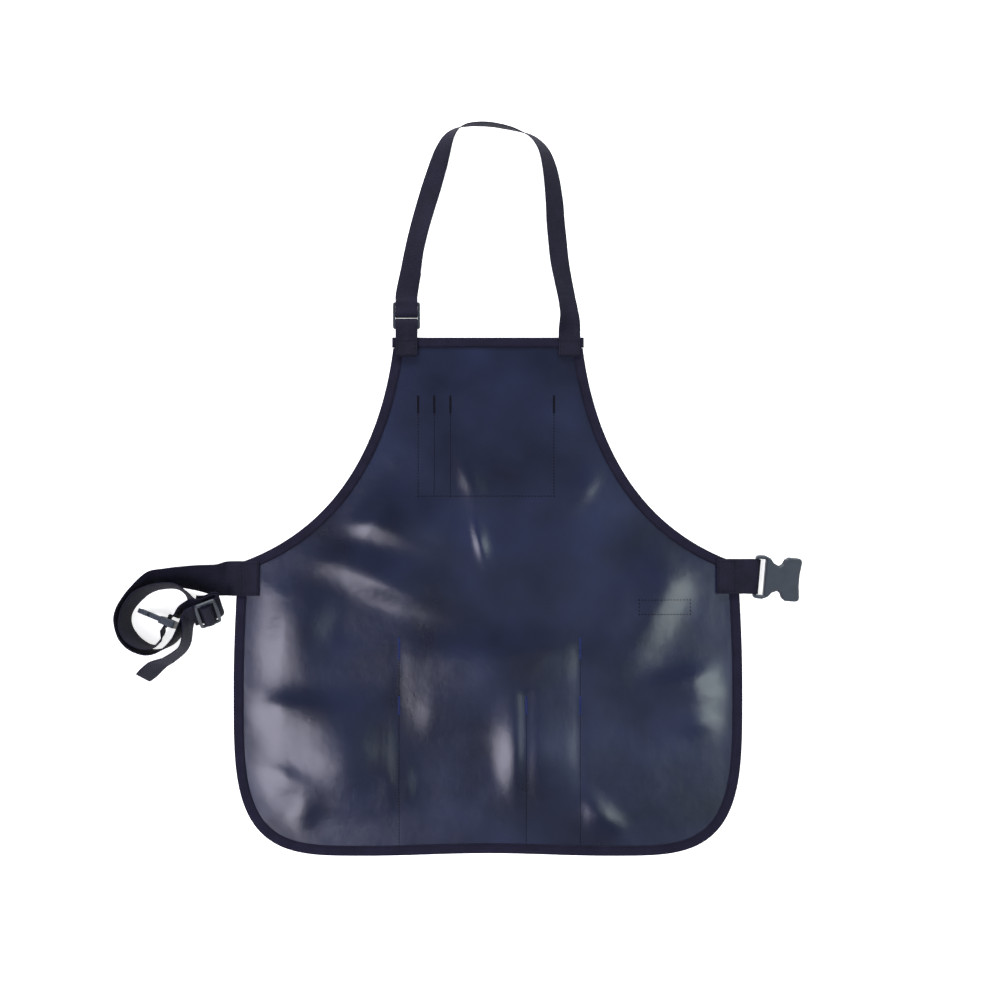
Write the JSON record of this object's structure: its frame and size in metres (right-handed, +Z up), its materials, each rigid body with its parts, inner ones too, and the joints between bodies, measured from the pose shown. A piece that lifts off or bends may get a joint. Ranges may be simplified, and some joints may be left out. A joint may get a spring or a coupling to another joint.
{
  "type": "gardening apron",
  "caption": "Navy bib apron in coated cloth with pockets, a webbing neck loop and a side-release waist strap, laid flat with the wearer's side up.",
  "frame": {"origin": "middle of the ground under the apron's bounding box", "axes": "+Z up off the ground, +Y from the hem to the neck strap, +X from the prong buckle to the socket buckle"},
  "size_m": [0.7822, 0.8388, 0.0512],
  "materials": {
    "cloth": "coated woven cloth with a soft sheen",
    "tape": "matte woven tape",
    "webbing": "matte woven webbing",
    "plastic": "moulded plastic, half gloss"
  },
  "bodies": {
    "root": {"apron_panel": "cloth", "bib_binding": "tape", "armhole_binding_left": "tape", "armhole_binding_right": "tape", "hem_binding": "tape", "bib_pocket": "cloth", "tall_pocket": "cloth", "lower_pocket": "cloth", "neck_strap": "webbing", "neck_buckle_loop": "webbing", "ladder_lock": "plastic", "waist_strap": "webbing", "slider": "plastic", "male_buckle": "plastic", "waist_buckle_loop": "webbing", "female_buckle": "plastic"}
  },
  "joints": []
}
